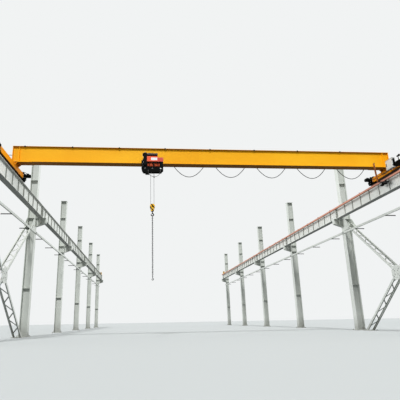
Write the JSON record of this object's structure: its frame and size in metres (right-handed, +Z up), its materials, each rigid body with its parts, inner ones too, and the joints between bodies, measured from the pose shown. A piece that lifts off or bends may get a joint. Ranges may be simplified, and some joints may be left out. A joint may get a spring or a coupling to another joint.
{
  "type": "overhead travelling bridge crane with runway",
  "caption": "Top-running single-girder bridge crane with rope hoist and chain sling, on welded runway girders carried by brackets on braced hall columns.",
  "frame": {"origin": "on the floor, midway between the two rows of columns and midway along them", "axes": "+X across the hall to the side with the conductor rail, +Y along the runway away from the bridge's rest position, +Z up"},
  "size_m": [17.06, 38, 9],
  "materials": {
    "steelwork": "satin off-white paint, dusty",
    "runway_paint": "satin pale grey paint, dusty",
    "rail_steel": "rolled steel, polished on top by wheels",
    "stop_paint": "satin yellow paint",
    "conductor_cover": "matte salmon insulating cover",
    "bridge_paint": "semi-gloss orange-yellow paint",
    "carriage_paint": "semi-gloss orange paint",
    "black_paint": "satin black paint",
    "buffer_rubber": "matte black rubber",
    "cabinet_paint": "textured light grey powder coat",
    "zinc_steel": "zinc-plated steel",
    "cable_sheath": "matte black flat-cable sheath",
    "wheel_iron": "machined cast iron",
    "hoist_paint": "semi-gloss red-orange paint",
    "wire_rope": "greased steel wire rope",
    "block_paint": "yellow paint with black slanted bands",
    "hook_steel": "black painted forged steel",
    "chain_steel": "alloy chain, worn bright at the bearing points"
  },
  "bodies": {
    "runway": {"columns_left": "steelwork", "columns_right": "steelwork", "girder_brackets": "steelwork", "runway_girder_left": "runway_paint", "runway_girder_right": "runway_paint", "crane_rails": "rail_steel", "end_stops": "stop_paint", "tie_strut_left": "steelwork", "tie_strut_right": "steelwork", "tie_arms": "black_paint", "brace_through_left": "steelwork", "brace_through_right": "steelwork", "brace_halves_left": "steelwork", "brace_halves_right": "steelwork", "conductor_rail": "conductor_cover"},
    "bridge": {"bridge_girder": "bridge_paint", "end_carriage_left": "carriage_paint", "end_carriage_right": "carriage_paint", "wheel_blocks": "black_paint", "travel_drives": "black_paint", "bridge_buffers": "buffer_rubber", "control_cabinet": "cabinet_paint", "resistor_box": "black_paint", "collector_arm": "carriage_paint", "current_collector": "black_paint", "festoon_track": "zinc_steel", "festoon_cable": "cable_sheath"},
    "hoist": {"trolley_frame": "black_paint", "trolley_rollers": "wheel_iron", "hoist_frame": "black_paint", "hoist_motor": "black_paint", "hoist_gearbox": "black_paint", "hoist_panel": "hoist_paint", "counterweight": "black_paint", "limit_bail": "zinc_steel", "rope_falls": "wire_rope"},
    "drum": {"rope_drum": "hoist_paint"},
    "hook_block": {"block_cheeks": "block_paint", "block_sheaves": "wheel_iron", "rope_bights": "wire_rope", "block_crosshead": "black_paint"},
    "hook": {"lifting_hook": "hook_steel", "sling_chain": "chain_steel", "sling_hook": "hook_steel"},
    "wheel_left_near": {"wheel_left_near": "wheel_iron"},
    "wheel_left_far": {"wheel_left_far": "wheel_iron"},
    "wheel_right_near": {"wheel_right_near": "wheel_iron"},
    "wheel_right_far": {"wheel_right_far": "wheel_iron"},
    "carrier_1": {"festoon_carrier_1": "zinc_steel"},
    "carrier_2": {"festoon_carrier_2": "zinc_steel"},
    "carrier_3": {"festoon_carrier_3": "zinc_steel"},
    "carrier_4": {"festoon_carrier_4": "zinc_steel"}
  },
  "joints": [
    {"name": "bridge_travel", "type": "slide", "parent": "runway", "child": "bridge", "axis": [0, 1, 0], "range_m": [-0.5, 33]},
    {"name": "trolley_travel", "type": "slide", "parent": "bridge", "child": "hoist", "axis": [1, 0, 0], "range_m": [-4.5, 8], "deforming": ["festoon_cable"]},
    {"name": "hook_lift", "type": "slide", "parent": "hoist", "child": "hook_block", "axis": [0, 0, 1], "range_m": [-1.9, 0.85], "deforming": ["rope_falls"]},
    {"name": "drum_spin", "type": "hinge", "parent": "hoist", "child": "drum", "pos_m": [-2.32, -16.42, 6.5593], "axis": [1, 0, 0], "continuous": true},
    {"name": "hook_swivel", "type": "hinge", "parent": "hook_block", "child": "hook", "pos_m": [-2.32, -16.3, 4.735], "axis": [0, 0, 1], "continuous": true},
    {"name": "wheel_left_near_spin", "type": "hinge", "parent": "bridge", "child": "wheel_left_near", "pos_m": [-7.85, -17.75, 6.5753], "axis": [1, 0, 0], "continuous": true},
    {"name": "wheel_left_far_spin", "type": "hinge", "parent": "bridge", "child": "wheel_left_far", "pos_m": [-7.85, -14.75, 6.5753], "axis": [1, 0, 0], "continuous": true},
    {"name": "wheel_right_near_spin", "type": "hinge", "parent": "bridge", "child": "wheel_right_near", "pos_m": [7.85, -17.75, 6.5753], "axis": [1, 0, 0], "continuous": true},
    {"name": "wheel_right_far_spin", "type": "hinge", "parent": "bridge", "child": "wheel_right_far", "pos_m": [7.85, -14.75, 6.5753], "axis": [1, 0, 0], "continuous": true},
    {"name": "carrier_1_slide", "type": "slide", "parent": "bridge", "child": "carrier_1", "axis": [1, 0, 0], "range_m": [-3.6, 6.4]},
    {"name": "carrier_2_slide", "type": "slide", "parent": "bridge", "child": "carrier_2", "axis": [1, 0, 0], "range_m": [-2.7, 4.8]},
    {"name": "carrier_3_slide", "type": "slide", "parent": "bridge", "child": "carrier_3", "axis": [1, 0, 0], "range_m": [-1.8, 3.2]},
    {"name": "carrier_4_slide", "type": "slide", "parent": "bridge", "child": "carrier_4", "axis": [1, 0, 0], "range_m": [-0.9, 1.6]}
  ],
  "couplings": [
    {"joint": "drum_spin", "follows": "hook_lift", "rad_per_m": 18.518},
    {"joint": "wheel_left_near_spin", "follows": "bridge_travel", "rad_per_m": -8},
    {"joint": "wheel_left_far_spin", "follows": "bridge_travel", "rad_per_m": -8},
    {"joint": "wheel_right_near_spin", "follows": "bridge_travel", "rad_per_m": -8},
    {"joint": "wheel_right_far_spin", "follows": "bridge_travel", "rad_per_m": -8},
    {"joint": "carrier_1_slide", "follows": "trolley_travel", "ratio": 0.8},
    {"joint": "carrier_2_slide", "follows": "trolley_travel", "ratio": 0.6},
    {"joint": "carrier_3_slide", "follows": "trolley_travel", "ratio": 0.4},
    {"joint": "carrier_4_slide", "follows": "trolley_travel", "ratio": 0.2}
  ]
}
